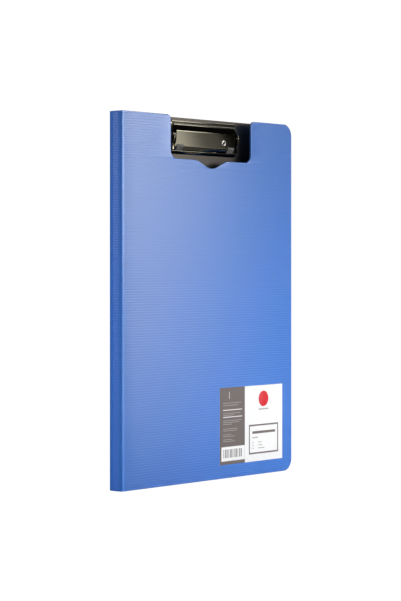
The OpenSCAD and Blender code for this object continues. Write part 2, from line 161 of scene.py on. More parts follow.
# The camera sees a white wall all round. What the folder mirrors of the room is dim, and
# darkest on the right.
world = bpy.data.worlds.new("room")
bpy.context.scene.world = world
world.use_nodes = True
room_nodes, room_links = world.node_tree.nodes, world.node_tree.links
room_nodes.clear()
room_direction = room_nodes.new("ShaderNodeTexCoord")
room_towards = room_nodes.new("ShaderNodeVectorMath")
room_towards.operation = "DOT_PRODUCT"
room_towards.inputs[1].default_value = (0.90, -0.42, 0.10)
room_shade = room_nodes.new("ShaderNodeMapRange")
room_shade.inputs["From Min"].default_value = 0.2
room_shade.inputs["From Max"].default_value = 0.75
room_shade.inputs["To Min"].default_value = 0.06
room_shade.inputs["To Max"].default_value = 0.008
room_dim = room_nodes.new("ShaderNodeBackground")
room_white = room_nodes.new("ShaderNodeBackground")
room_white.inputs["Color"].default_value = (1, 1, 1, 1)
room_white.inputs["Strength"].default_value = 1.05
room_ray = room_nodes.new("ShaderNodeLightPath")
room_mix = room_nodes.new("ShaderNodeMixShader")
room_out = room_nodes.new("ShaderNodeOutputWorld")
room_links.new(room_direction.outputs["Generated"], room_towards.inputs[0])
room_links.new(room_towards.outputs["Value"], room_shade.inputs["Value"])
room_links.new(room_shade.outputs["Result"], room_dim.inputs["Strength"])
room_links.new(room_ray.outputs["Is Camera Ray"], room_mix.inputs["Fac"])
room_links.new(room_dim.outputs["Background"], room_mix.inputs[1])
room_links.new(room_white.outputs["Background"], room_mix.inputs[2])
room_links.new(room_mix.outputs["Shader"], room_out.inputs["Surface"])
bpy.context.scene.view_settings.view_transform = "Standard"

camera_data = bpy.data.cameras.new("camera")
camera_data.lens = 118.6
camera_data.sensor_width = 36
camera_data.shift_y = -0.0597
camera = bpy.data.objects.new("camera", camera_data)
bpy.context.scene.collection.objects.link(camera)
camera.location = (-1.32195, -1.10865, 0.1875)
camera.rotation_euler = (radians(90), 0, radians(-49.89))
bpy.context.scene.camera = camera


# ---- The front and back covers ----
# One foamed polypropylene sheet makes both covers and the spine. Rollers press the fine
# horizontal ribs into its outer face, and a die cuts the outline, which leaves a smooth rim.
rib_pitch = 2.19
rib_depth = 0.13
sheet_back = 0.05                      # how far the rib crests lie behind the label's face
cover_low, cover_high = span("front_cover")
back_low, back_high = span("back_cover")
cover_h = cover_high[2]
corner_r = 11
clip_x = (span("clip_base")[0][0] + span("clip_base")[1][0]) / 2
notch_w, notch_h, notch_r, notch_lip_r = 109, 37.1, 7.5, 4.5
dip_w, dip_h = 49, 6.9
rim_round = 0.4                        # radius of a cut edge
RIM_STEPS = np.array([0, 0.05, 0.14, 0.28, 0.5, 1.0, 1.7, 2.5])
double_dist = 0.004                    # points closer than this are one
sharp_angle = 35                       # a steeper edge than this, in degrees, stays sharp


def add_grain():
    """Node group: fine speckle and slow drift over the surface, from Object coordinates."""
    group = bpy.data.node_groups.new("sheet_grain", "ShaderNodeTree")
    for label, value in (("Scale", 1800.0), ("Stretch", 1.0), ("Depth", 0.1)):
        socket = group.interface.new_socket(label, in_out="INPUT", socket_type="NodeSocketFloat")
        socket.default_value = value
    group.interface.new_socket("Grain", in_out="OUTPUT", socket_type="NodeSocketFloat")
    group.interface.new_socket("Drift", in_out="OUTPUT", socket_type="NodeSocketFloat")
    group.interface.new_socket("Normal", in_out="OUTPUT", socket_type="NodeSocketVector")
    nodes, links = group.nodes, group.links
    given, made = nodes.new("NodeGroupInput"), nodes.new("NodeGroupOutput")
    place = nodes.new("ShaderNodeTexCoord")
    stretch = nodes.new("ShaderNodeCombineXYZ")
    stretch.inputs[1].default_value = 1
    stretch.inputs[2].default_value = 1
    stretched = nodes.new("ShaderNodeVectorMath")
    stretched.operation = "MULTIPLY"
    fine, slow = nodes.new("ShaderNodeTexNoise"), nodes.new("ShaderNodeTexNoise")
    fine.inputs["Detail"].default_value = 3
    slow.inputs["Scale"].default_value = 14
    bump = nodes.new("ShaderNodeBump")
    bump.inputs["Distance"].default_value = 0.00006
    links.new(given.outputs["Stretch"], stretch.inputs[0])
    links.new(place.outputs["Object"], stretched.inputs[0])
    links.new(stretch.outputs["Vector"], stretched.inputs[1])
    links.new(stretched.outputs["Vector"], fine.inputs["Vector"])
    links.new(place.outputs["Object"], slow.inputs["Vector"])
    links.new(given.outputs["Scale"], fine.inputs["Scale"])
    links.new(given.outputs["Depth"], bump.inputs["Strength"])
    links.new(fine.outputs["Fac"], bump.inputs["Height"])
    links.new(fine.outputs["Fac"], made.inputs["Grain"])
    links.new(slow.outputs["Fac"], made.inputs["Drift"])
    links.new(bump.outputs["Normal"], made.inputs["Normal"])
    return group


GRAIN = add_grain()


def grained(name, colour, other, roughness, scale, depth, stretch=1.0, spread=0.08):
    """Material whose colour drifts between two shades and whose gloss follows a fine grain."""
    material, nodes, links, shader = plain_material(name, colour, roughness)
    grain = nodes.new("ShaderNodeGroup")
    grain.node_tree = GRAIN
    grain.inputs["Scale"].default_value = scale
    grain.inputs["Depth"].default_value = depth
    grain.inputs["Stretch"].default_value = stretch
    shades = nodes.new("ShaderNodeMix")
    shades.data_type = "RGBA"
    shades.inputs["A"].default_value = (*colour, 1)
    shades.inputs["B"].default_value = (*other, 1)
    gloss = nodes.new("ShaderNodeMapRange")
    gloss.inputs["To Min"].default_value = roughness - spread
    gloss.inputs["To Max"].default_value = roughness + spread
    links.new(grain.outputs["Drift"], shades.inputs["Factor"])
    links.new(shades.outputs["Result"], shader.inputs["Base Color"])
    links.new(grain.outputs["Grain"], gloss.inputs["Value"])
    links.new(gloss.outputs["Result"], shader.inputs["Roughness"])
    links.new(grain.outputs["Normal"], shader.inputs["Normal"])
    return material


cover_blue = grained("ribbed_blue_sheet", (0.054, 0.200, 0.650), (0.060, 0.213, 0.685),
                     0.23, 900, 0.35, stretch=0.25)
# The smooth strip beside the hinge is a lighter copy of the sheet's blue: painted highlight where its
# rounded corner catches the light.
smooth_blue_painted_highlight = grained("smooth_blue_strip_painted_highlight", (0.074, 0.275, 0.850), (0.080, 0.290, 0.880),
                      0.23, 900, 0.2, stretch=0.25)
# The spine's copy of the sheet's blue is darker: painted shade for the spine's face, which gets less
# light than the covers.
spine_blue_painted_shade = grained("ribbed_blue_spine_painted_shade", (0.033, 0.155, 0.630), (0.038, 0.166, 0.660),
                     0.23, 900, 0.35, stretch=0.25)
for sheet in (cover_blue, smooth_blue_painted_highlight, spine_blue_painted_shade):
    sheet.node_tree.nodes["Principled BSDF"].inputs["Specular IOR Level"].default_value = 0.9


def new_piece(name, points, faces, material, depth=None):
    """Smooth mesh of points in millimetres, with doubles merged and faces turned outwards.

    With `depth`, a function that moves points inwards, an open sheet is closed by a wall
    round its rim and one flat face behind.
    """
    mesh = bpy.data.meshes.new(name)
    mesh.from_pydata((np.asarray(points, float) * MM).tolist(), [],
                     [list(map(int, face)) for face in faces])
    shape = bmesh.new()
    shape.from_mesh(mesh)
    bmesh.ops.remove_doubles(shape, verts=shape.verts, dist=double_dist * MM)
    if depth:
        rim = [edge for edge in shape.edges if edge.is_boundary]
        wall = bmesh.ops.extrude_edge_only(shape, edges=rim)["geom"]
        for vertex in wall:
            if isinstance(vertex, bmesh.types.BMVert):
                vertex.co = depth(vertex.co)
        bmesh.ops.holes_fill(shape, edges=[e for e in shape.edges if e.is_boundary], sides=0)
    bmesh.ops.recalc_face_normals(shape, faces=shape.faces)
    shape.to_mesh(mesh)
    shape.free()
    for polygon in mesh.polygons:
        polygon.use_smooth = True
    mesh.set_sharp_from_angle(angle=radians(sharp_angle))
    mesh.materials.append(material)
    piece = bpy.data.objects.new(name, mesh)
    bpy.context.scene.collection.objects.link(piece)
    return piece


def stands_for(piece, body, slot, *nodes):
    """The piece rides on a body and replaces the nodes; `slot` is not used."""
    if body:
        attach(piece, body)
    if nodes:
        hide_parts(*nodes)


def outline_distance(points, outline):
    """Distance from each point to the nearest stretch of a closed outline."""
    nearest = np.full(points.shape[:-1], 1e9)
    for a, b in zip(outline, np.roll(outline, -1, axis=0)):
        way = b - a
        share = np.clip(((points - a) @ way) / max(way @ way, 1e-9), 0, 1)
        nearest = np.minimum(nearest, np.linalg.norm(points - a - share[..., None] * way, axis=-1))
    return nearest


def smooth_step(x, start, end):
    """Rises from 0 at `start` to 1 at `end`, level at both: three squares less two cubes."""
    t = np.clip((x - start) / (end - start), 0, 1)
    return t * t * (3 - 2 * t)


def rounded_drop(distance, radius):
    """How far a surface falls away at this distance from an edge rounded with a quarter circle."""
    inward = np.clip(radius - distance, 0, radius)
    return radius - np.sqrt(radius ** 2 - inward ** 2)


def rib_rows(top, *levels):
    """Heights of the grid's rows up to `top`: six for each rib, and closer ones by each level."""
    phases = np.array([0, 0.08, 0.24, 0.5, 0.76, 0.92])
    ribs = (np.arange(int(top / rib_pitch) + 1)[:, None] + phases).ravel() * rib_pitch
    close = np.concatenate([np.r_[-RIM_STEPS[:5], RIM_STEPS[:5]] + level for level in levels])
    rows = np.unique(np.round(np.r_[ribs, close], 3))
    rows = rows[(rows >= 0) & (rows <= top)]
    clear = np.r_[True, np.diff(rows) > 0.03]
    keep = clear | np.isin(rows, levels)
    return rows[keep]


def stations(a, b, before, middle, after):
    """Stations of each row between rails a and b, close beside a rail and even between."""
    left, right = a[:, None] + before, b[:, None] - after[::-1]
    even = np.linspace(0, 1, middle + 2)[1:-1]
    return np.hstack([left, left[:, -1:] + (right[:, :1] - left[:, -1:]) * even, right])


def rib_surface(across, rows, outline, rib_start, hinge_x):
    """Depth of the outer face below the crests at each station.

    Each rib is an arch, the absolute sine of its height, so that ribs meet in sharp grooves.
    They fade out towards the cut rim and beside the hinge, where the press has smoothed them.
    """
    heights = np.repeat(rows[:, None], across.shape[1], axis=1)
    distance = outline_distance(np.stack([across, heights], axis=-1), outline)
    arch = rib_depth * (1 - np.abs(np.sin(pi * heights / rib_pitch)))
    fade = smooth_step(distance, 0.3, 1.5) * smooth_step(np.abs(across - hinge_x), *rib_start)
    return heights, arch * fade + rounded_drop(distance, rim_round)


def grid_cells(rows, columns):
    """Corner numbers of every cell of a grid of points, shaped (rows - 1, columns - 1, 4)."""
    number = np.arange(rows * columns).reshape(rows, columns)
    return np.stack([number[:-1, :-1], number[:-1, 1:], number[1:, 1:], number[1:, :-1]], axis=-1)


def arc(centre, radius, start, end, steps=10):
    """Points of an arc round a centre between two angles in degrees."""
    angles = np.radians(np.linspace(start, end, steps + 1))
    return np.array(centre) + radius * np.stack([np.cos(angles), np.sin(angles)], axis=-1)


def free_edge(rows, edge_x, top):
    """Where each row ends at the free edge, with its two rounded corners."""
    reach = np.clip(corner_r - np.minimum(rows, top - rows), 0, corner_r)
    return edge_x - corner_r + np.sqrt(corner_r ** 2 - reach ** 2)


def cover_corners(edge_x, hinge_x, top):
    """Outline of a cover without a notch, from the hinge's foot round the free edge."""
    return np.vstack([
        [[hinge_x, 0]], arc((edge_x - corner_r, corner_r), corner_r, -90, 0),
        arc((edge_x - corner_r, top - corner_r), corner_r, 0, 90), [[hinge_x, top]]])


def press_strip_painted_highlight(cover):
    """Give the outer face its smoother strip beside the hinge, in a lighter blue that is a painted
    highlight.
    """
    cover.data.materials.append(smooth_blue_painted_highlight)
    for polygon in cover.data.polygons:
        outer = abs(polygon.normal.y) > 0.5 and len(polygon.vertices) == 4
        polygon.material_index = int(outer and polygon.center.x / MM < hinge_x + strip_w)


hinge_x, edge_x = cover_low[0], cover_high[0]
strip_w = 2.2                          # width of the strip that the hinge press smooths
rib_start = (1.5, 2.5)                 # from and to how far off the hinge the ribs fade in
outer_y = cover_low[1] + sheet_back
inner_y = cover_high[1]

# Front cover: the notch is cut out of the rows above the dip's lowest point
shelf_z = cover_h - notch_h
dip_z = shelf_z - dip_h
rows = rib_rows(cover_h, 0, dip_z, shelf_z, cover_h)
dip_share = np.clip(2 * (shelf_z - rows) / dip_h - 1, -1, 1)
dip_half = np.where(rows < dip_z, 0, np.where(
    rows < shelf_z, dip_w / 2 * np.arccos(dip_share) / pi, dip_w / 2))
low_reach = np.clip(shelf_z + notch_r - rows, 0, notch_r)
lip_reach = np.clip(rows - (cover_h - notch_lip_r), 0, notch_lip_r)
notch_half = np.where(
    rows < shelf_z, notch_w / 2 - notch_r,
    notch_w / 2 - notch_r + np.sqrt(notch_r ** 2 - low_reach ** 2)
    + notch_lip_r - np.sqrt(notch_lip_r ** 2 - lip_reach ** 2))
rails = [np.full(len(rows), hinge_x), clip_x - notch_half, clip_x - dip_half,
         clip_x + dip_half, clip_x + notch_half, free_edge(rows, edge_x, cover_h)]
dip_steps = RIM_STEPS[:4]
left_tab = stations(rails[0], rails[1], RIM_STEPS, 3, RIM_STEPS[:6])
left_shelf = stations(rails[1], rails[2], dip_steps[:1], 5, dip_steps)[:, 1:]
right_shelf = stations(rails[3], rails[4], dip_steps, 5, dip_steps[:1])
right_tab = stations(rails[4], rails[5], RIM_STEPS[:6], 3, RIM_STEPS)[:, 1:]
across = np.hstack([left_tab, left_shelf, right_shelf, right_tab])
notch_left = np.vstack([
    arc((-notch_w / 2 - notch_lip_r, cover_h - notch_lip_r), notch_lip_r, 90, 0),
    arc((notch_r - notch_w / 2, shelf_z + notch_r), notch_r, 180, 270),
    [[-u * dip_w / 2, shelf_z - dip_h * (1 + cos(pi * u)) / 2] for u in np.linspace(1, 0, 21)]])
notch_right = notch_left[::-1] * [-1, 1]
notch = np.vstack([notch_left, notch_right]) + [clip_x, 0]
corners = cover_corners(edge_x, hinge_x, cover_h)
front_outline = np.vstack([corners[:-1], notch[::-1], corners[-1:]])
heights, drop = rib_surface(across, rows, front_outline, rib_start, hinge_x)
cells = grid_cells(*across.shape)
column_of = np.arange(across.shape[1] - 1)
first_shelf, last_shelf = left_tab.shape[1] - 1, across.shape[1] - right_tab.shape[1] - 1
gap_column = left_tab.shape[1] + left_shelf.shape[1] - 1
middle_z = (rows[1:] + rows[:-1]) / 2
in_shelf = (column_of >= first_shelf) & (column_of <= last_shelf)
keep = ~(in_shelf[None, :] & (middle_z[:, None] > shelf_z))
keep[:, gap_column] = False
front_points = np.stack([across, outer_y + drop, heights], axis=-1).reshape(-1, 3)
front_cover = new_piece("front_cover_sheet", front_points, cells[keep], cover_blue,
                        depth=lambda p: Vector((p.x, inner_y * MM, p.z)))
press_strip_painted_highlight(front_cover)
stands_for(front_cover, "front", "cover_sheet", "front_cover")

# Back cover: the same sheet without the notch and a little lower, its ribs facing backwards
back_h = back_high[2]
rows = rib_rows(back_h, 0, back_h)
across = stations(np.full(len(rows), hinge_x), free_edge(rows, edge_x, back_h),
                  RIM_STEPS, 6, RIM_STEPS)
back_outline = cover_corners(edge_x, hinge_x, back_h)
heights, drop = rib_surface(across, rows, back_outline, rib_start, hinge_x)
back_points = np.stack([across, back_high[1] - sheet_back - drop, heights], axis=-1).reshape(-1, 3)
back_cover = new_piece("back_cover_sheet", back_points, grid_cells(*across.shape).reshape(-1, 4),
                       cover_blue, depth=lambda p: Vector((p.x, back_low[1] * MM, p.z)))
press_strip_painted_highlight(back_cover)
stands_for(back_cover, "back", "cover_sheet", "back_cover")


# ---- The spine ----
# The strip of the same ribbed sheet between the two hinges. Its ribs run out to its long edges,
# which the hinge press leaves rounded.
spine_low, spine_high = span("spine_panel")
spine_steps = RIM_STEPS[:5]
rows = rib_rows(cover_h, 0, cover_h)
across = stations(np.full(len(rows), spine_low[1]), np.full(len(rows), spine_high[1]),
                  spine_steps, 2, spine_steps)
spine_outline = np.array([[spine_low[1], 0], [spine_high[1], 0],
                          [spine_high[1], cover_h], [spine_low[1], cover_h]])
heights = np.repeat(rows[:, None], across.shape[1], axis=1)
distance = outline_distance(np.stack([across, heights], axis=-1), spine_outline)
arch = rib_depth * (1 - np.abs(np.sin(pi * heights / rib_pitch)))
drop = arch * smooth_step(distance, 0.0, 0.3) + rounded_drop(distance, rim_round)
spine_points = np.stack([spine_low[0] + sheet_back + drop, across, heights], axis=-1).reshape(-1, 3)
spine = new_piece("spine_sheet", spine_points, grid_cells(*across.shape).reshape(-1, 4), spine_blue_painted_shade,
                  depth=lambda p: Vector((spine_high[0] * MM, p.y, p.z)))
stands_for(spine, "spine", "cover_sheet", "spine_panel")


# ---- The two living hinges ----
# A hot bar presses the sheet down to a thin, smooth band at each edge of the spine; the band's darker
# blue is painted shade, as the band gets less light and sheen than the panels beside it.
# The band goes round the folder's corner. In the real folder it is what bends when a cover opens;
# here it is a fixed piece on no body.
# Darker copy of the sheet's blue: painted shade in the pressed hinge groove.
hinge_blue_painted_shade = grained("pressed_blue_hinge_painted_shade", (0.016, 0.140, 0.540), (0.020, 0.150, 0.570),
                     0.30, 500, 0.2, stretch=0.3)
band_t = 0.55                          # thickness that the press leaves
band_r = 0.85                          # outer radius where the band rounds the corner
band_dish = 0.12                       # how far the pressed channel is dished
tuck = 0.2                             # how far the band runs into the thicker sheet
band_end = 0.15                        # how far the band ends inside the spine's ends


def closed_profile(outer, inner):
    """One closed loop out of an outer line and the inner line that lies behind it."""
    return np.vstack([outer, inner[::-1]])


def carried(profile, along, place):
    """Profile carried to each value of `along`: `place` maps (profile, value) to points."""
    rings = np.stack([place(profile, value) for value in along])
    count = len(profile)
    number = np.arange(len(along) * count).reshape(len(along), count)
    after = np.roll(number, -1, axis=1)
    sides = np.stack([number[:-1], after[:-1], after[1:], number[1:]], axis=-1).reshape(-1, 4)
    return rings.reshape(-1, 3), list(sides) + [number[0], number[-1]]


def hinge(name, node, side):
    """Band from the spine's panel round the corner to a cover; `side` is -1 at the front."""
    low, high = span(node)
    face = spine_low[0] + 2 * sheet_back
    panel_y = spine_low[1] if side < 0 else spine_high[1]
    corner_y = (low[1] if side < 0 else high[1]) - side * (2 * sheet_back + band_r)
    centre = np.array([face + band_r, abs(corner_y)])
    straight = np.linspace(abs(panel_y) - tuck, centre[1], 9)[:-1]
    share = (straight - straight[0]) / (centre[1] - straight[0])
    dish = band_dish * np.sin(pi * share)
    outer = np.vstack([np.stack([face + dish, straight], axis=-1),
                       arc(centre, band_r, 180, 90, 12),
                       [[hinge_x + tuck, centre[1] + band_r]]])
    inner = np.vstack([np.stack([np.full(len(straight), face + band_t), straight], axis=-1),
                       arc(centre, band_r - band_t, 180, 90, 12),
                       [[hinge_x + tuck, centre[1] + band_r - band_t]]])
    profile = closed_profile(outer, inner)
    points, faces = carried(
        profile, np.linspace(band_end, cover_h - band_end, 12),
        lambda p, z: np.stack([p[:, 0], side * p[:, 1], np.full(len(p), z)], axis=-1))
    piece = new_piece(name, points, faces, hinge_blue_painted_shade)
    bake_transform(piece)
    stands_for(piece, None, "pressed_band", node)


hinge("front_hinge", "front_hinge_band", -1)
hinge("rear_hinge", "rear_hinge_band", 1)


# ---- The writing board ----
# A stiff black board riveted inside the back cover. Its face has a semi-gloss leather grain,
# and its edges are cut and slightly rounded.
board_black = grained("black_board", (0.010, 0.010, 0.0105), (0.012, 0.0115, 0.011),
                      0.30, 1500, 0.25, spread=0.06)
board_shader = board_black.node_tree.nodes["Principled BSDF"]
board_shader.inputs["Specular IOR Level"].default_value = 0.75
# Warm tint on the board's reflections: painted reflection of a warm-coloured surrounding.
board_shader.inputs["Specular Tint"].default_value = (1.0, 0.86, 0.73, 1)
board_low, board_high = span("writing_board")
board_round = 0.35                     # radius of its cut edges
board_left_r, board_right_r = 2, 10.2  # radii of its corners at the spine and at the free edge


def rounded_outline(low, high, left_r, right_r, inset):
    """Rectangle in X and Z with rounded corners, drawn `inset` inside its real edge."""
    x0, z0, x1, z1 = low[0] + inset, low[1] + inset, high[0] - inset, high[1] - inset
    left, right = left_r - inset, right_r - inset
    return np.vstack([arc((x1 - right, z0 + right), right, -90, 0),
                      arc((x1 - right, z1 - right), right, 0, 90),
                      arc((x0 + left, z1 - left), left, 90, 180),
                      arc((x0 + left, z0 + left), left, 180, 270)])


def slab(low, high, left_r, right_r, edge_r):
    """Rounded rectangle between two depths, with quarter-round edges on both faces."""
    quarter = np.radians(np.linspace(0, 90, 5))
    inset = edge_r * (1 - np.sin(quarter))
    depth = edge_r * (1 - np.cos(quarter))
    insets = np.r_[inset, inset[::-1]]
    depths = np.r_[low[1] + depth, high[1] - depth[::-1]]
    rings = [rounded_outline((low[0], low[2]), (high[0], high[2]), left_r, right_r, inset)
             for inset in insets]
    count = len(rings[0])
    points = np.vstack([np.stack([ring[:, 0], np.full(count, y), ring[:, 1]], axis=-1)
                        for ring, y in zip(rings, depths)])
    number = np.arange(len(points)).reshape(len(rings), count)
    after = np.roll(number, -1, axis=1)
    sides = np.stack([number[:-1], after[:-1], after[1:], number[1:]], axis=-1).reshape(-1, 4)
    return points, list(sides) + [number[0], number[-1]]


board = new_piece("black_writing_board", *slab(board_low, board_high, board_left_r, board_right_r,
                                               board_round), board_black)
stands_for(board, "back", "board", "writing_board")


# ---- The clip's base and press plate ----
# Both are pressed from sheet steel and plated black nickel, so their edges are rounded by the
# press and they mirror the room in a dark, brownish tone.
def plated(name, colour, roughness, spread):
    """Plated steel: metallic, with faint polishing lines along the clip."""
    material = grained(name, colour, tuple(0.93 * c for c in colour), roughness, 700, 0.01,
                       stretch=0.06, spread=spread)
    material.node_tree.nodes["Principled BSDF"].inputs["Metallic"].default_value = 1
    return material


black_nickel = plated("black_nickel", (0.27, 0.25, 0.19), 0.05, 0.01)
bright_steel = plated("bright_steel", (0.62, 0.60, 0.56), 0.22, 0.05)


def pressed_copy(name, node, edge_r, material):
    """Copy of a moulded or pressed part, its triangles joined into faces and its edges rounded."""
    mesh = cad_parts[node].data.copy()
    mesh.name = name
    shape = bmesh.new()
    shape.from_mesh(mesh)
    bmesh.ops.remove_doubles(shape, verts=shape.verts, dist=0.002 * MM)
    bmesh.ops.dissolve_limit(shape, angle_limit=radians(0.4), verts=shape.verts, edges=shape.edges)
    shape.to_mesh(mesh)
    shape.free()
    for polygon in mesh.polygons:
        polygon.use_smooth = True
    mesh.materials.clear()
    mesh.materials.append(material)
    piece = bpy.data.objects.new(name, mesh)
    bpy.context.scene.collection.objects.link(piece)
    rounding = piece.modifiers.new("rounded_edges", "BEVEL")
    rounding.width = edge_r * MM
    rounding.segments = 3
    rounding.limit_method = "ANGLE"
    rounding.angle_limit = radians(35)
    facing = piece.modifiers.new("flat_faces", "WEIGHTED_NORMAL")
    facing.weight = 100
    return piece


base_edge, press_edge = 0.15, 0.18     # radii that the press leaves on the plates' edges
base = pressed_copy("clip_base_plate", "clip_base", base_edge, black_nickel)
stands_for(base, "back", "clip_steel", "clip_base")
press = pressed_copy("clip_press_plate", "press_plate", press_edge, black_nickel)
stands_for(press, "press", "clip_steel", "press_plate")


# ---- The pin, springs, rivets and caps ----
# Turned and coiled in bright steel wire: the pin runs through both ears, each spring is wound
# round it, and the rivets are closed in two caps in the back cover.
def turned_part(profile, centre, axis, sides=40):
    """Profile of [radius, distance along the axis] turned round an axis through a centre."""
    axis = np.array(axis, float) / np.linalg.norm(axis)
    u = np.cross(axis, [0, 0, 1.0] if abs(axis[2]) < 0.9 else [1.0, 0, 0])
    u /= np.linalg.norm(u)
    v = np.cross(axis, u)
    turn = np.linspace(0, 2 * pi, sides, endpoint=False)
    way = np.cos(turn)[:, None] * u + np.sin(turn)[:, None] * v
    rings = np.array(centre) + profile[:, 1, None, None] * axis + profile[:, 0, None, None] * way
    count = len(profile)
    number = np.arange(count * sides).reshape(count, sides)
    after = np.roll(number, -1, axis=1)
    return rings.reshape(-1, 3), np.stack([number[:-1], after[:-1], after[1:], number[1:]],
                                          axis=-1).reshape(-1, 4)


pin_low, pin_high = span("pivot_pin")
pin_head_r = (pin_high[2] - pin_low[2]) / 2
pin_head_t, pin_r, head_round = 0.8, 1.0, 0.3
pin_half = (pin_high[0] - pin_low[0]) / 2
head_arc = arc((pin_head_r - head_round, pin_half - head_round), head_round, 90, 0, 4)
head = np.vstack([[[0, pin_half]], head_arc, [[pin_head_r, pin_half - pin_head_t],
                                              [pin_r, pin_half - pin_head_t]]])
pin = new_piece("pivot_pin_steel", *turned_part(np.vstack([head, head[::-1] * [1, -1]]),
                                                (pin_low + pin_high) / 2, (1, 0, 0)), bright_steel)
stands_for(pin, "back", "pin_steel", "pivot_pin")

wire_r, spring_turns, coil_r = 0.4, 4, 1.5
foot_a, arm_a, foot_l, arm_l = 8, 50, 3.4, 3.0   # angles in degrees and lengths of foot and arm
bend_l = 0.3                           # where the straight wire begins, past the coil
wire_sides = 12
coil_pitch = 1.15 * 2 * wire_r
spring_end = 360 * spring_turns + arm_a


def spring_wire(middle_x):
    """Round wire along a helix round the pin, with a straight foot and a straight arm."""
    angle = np.linspace(foot_a, spring_end, 24 * spring_turns)
    turn = np.radians(angle)
    coil = np.stack([coil_pitch * angle / 360, coil_r * np.cos(turn), coil_r * np.sin(turn)], axis=-1)
    way = np.stack([0 * turn, -np.sin(turn), np.cos(turn)], axis=-1)
    path = np.vstack([coil[0] - foot_l * way[0], coil[0] - bend_l * way[0], coil,
                      coil[-1] + bend_l * way[-1], coil[-1] + arm_l * way[-1]])
    ahead = np.gradient(path, axis=0)
    ahead /= np.linalg.norm(ahead, axis=1)[:, None]
    u = np.cross(ahead, [1.0, 0, 0])
    u /= np.linalg.norm(u, axis=1)[:, None]
    v = np.cross(u, ahead)
    round_wire = np.linspace(0, 2 * pi, wire_sides, endpoint=False)[:, None]
    rings = path[:, None] + wire_r * (
        np.cos(round_wire) * u[:, None] + np.sin(round_wire) * v[:, None])
    centre = (pin_low + pin_high) / 2
    start = np.array([middle_x - coil_pitch * spring_end / 720, centre[1], centre[2]])
    number = np.arange(rings.shape[0] * wire_sides).reshape(-1, wire_sides)
    after = np.roll(number, -1, axis=1)
    sides = np.stack([number[:-1], after[:-1], after[1:], number[1:]], axis=-1).reshape(-1, 4)
    return rings.reshape(-1, 3) + start, list(sides) + [number[0], number[-1]]


for node in ("spring_left", "spring_right"):
    low, high = span(node)
    spring = new_piece(node + "_wire", *spring_wire((low[0] + high[0]) / 2), bright_steel)
    stands_for(spring, "back", "pin_steel", node)

for node in ("rivet_left", "rivet_right"):
    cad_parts[node].material_slots[0].material = black_nickel

cap_round = 0.35                       # radius of a cap's rim
cap_room = 0.05                        # how much smaller a cap is than its seat in the sheet
# Groove round a cap's middle: [radius, depth] of its four corners
cap_groove = np.array([[1.7, 0], [1.75, 0.08], [1.85, 0.08], [1.9, 0]])
for node in ("rivet_cap_left", "rivet_cap_right"):
    low, high = span(node)
    cap_r = (high[0] - low[0]) / 2 - cap_room
    cap_face = high[1] - low[1]
    cap_profile = np.vstack([[[0, cap_face]], [0, cap_face] + cap_groove * [1, -1],
                             arc((cap_r - cap_round, cap_face - cap_round), cap_round, 90, 0, 5),
                             [[cap_r, 0], [0, 0]]])
    cap_foot = ((low[0] + high[0]) / 2, low[1], (low[2] + high[2]) / 2)
    cap = new_piece(node + "_disc", *turned_part(cap_profile, cap_foot, (0, 1, 0)), black_nickel)
    stands_for(cap, "back", "clip_steel", node)


# ---- The eyelet in the press plate ----
# A bright steel ring, rolled over on the plate's face so that its rim is a half round. It
# reaches through the plate and a little behind it.
crest_s, crest_h = 9.5, 6.3            # the crest: down from the clip's top, and above the board
foot_s, foot_h = 22.5, 4.17            # the face's lower end, measured in the same way
face_a = atan2(crest_h - foot_h, foot_s - crest_s)   # how far the press plate's face leans
face_out = np.array([0, -cos(face_a), -sin(face_a)])
eyelet_low, eyelet_high = span("plate_eyelet")
eyelet_r, eyelet_bore, plate_half = 2.7, 1.3, 0.45   # outer and inner radius, half the plate
back_end, back_in = 0.3, 0.4           # how far it reaches behind the plate, and how much narrower
rim_r = (eyelet_r - eyelet_bore) / 2
eyelet_profile = np.vstack([
    arc((eyelet_bore + rim_r, plate_half), rim_r, 0, 180, 12),
    [[eyelet_bore, -plate_half - back_end], [eyelet_r - back_in, -plate_half - back_end],
     [eyelet_r - back_in, -plate_half], [eyelet_r, plate_half]]])
eyelet_middle = (eyelet_low + eyelet_high) / 2
eyelet_seat = eyelet_middle - face_out * (rim_r - back_end) / 2
eyelet = new_piece("press_plate_eyelet", *turned_part(eyelet_profile, eyelet_seat, face_out),
                   bright_steel)
stands_for(eyelet, "press", "pin_steel", "plate_eyelet")


# ---- The rubber grips ----
# Two moulded rubber sleeves pushed over the ends of the jaw, with three raised ribs round each.
grip_grey = grained("grey_rubber", (0.105, 0.100, 0.088), (0.125, 0.118, 0.103), 0.50, 1200, 0.5)
grip_ribs, grip_dip = 3, 0.30          # how many ribs, and how deep the grooves between them are
groove_half = 0.22                     # half a groove's width, as a share of the ribs' pitch
grip_edge = 0.15                       # radius of the sleeve's edges


def rib_sleeve(grip):
    """Cut the sleeve across at each groove, and press those cuts in towards its middle line."""
    shape = bmesh.new()
    shape.from_mesh(grip.data)
    xs = [v.co.x for v in shape.verts]
    left, right = min(xs), max(xs)
    pitch = (right - left) / grip_ribs
    for k in range(1, grip_ribs):
        for side in (-groove_half, 0, groove_half):
            bmesh.ops.bisect_plane(shape, geom=shape.verts[:] + shape.edges[:] + shape.faces[:],
                                   plane_co=(left + (k + side) * pitch, 0, 0), plane_no=(1, 0, 0))
    bmesh.ops.recalc_face_normals(shape, faces=shape.faces)
    shape.normal_update()
    sunk = [v for v in shape.verts if left + 1e-5 < v.co.x < right - 1e-5
            and abs((v.co.x - left) / pitch - round((v.co.x - left) / pitch)) < 0.05]
    for vertex, way in [(v, v.normal.copy()) for v in sunk]:
        vertex.co -= way * grip_dip * MM
    shape.to_mesh(grip.data)
    shape.free()


for node in ("grip_left", "grip_right"):
    grip = pressed_copy(node + "_sleeve", node, grip_edge, grip_grey)
    rib_sleeve(grip)
    stands_for(grip, "press", "grip_rubber", node)


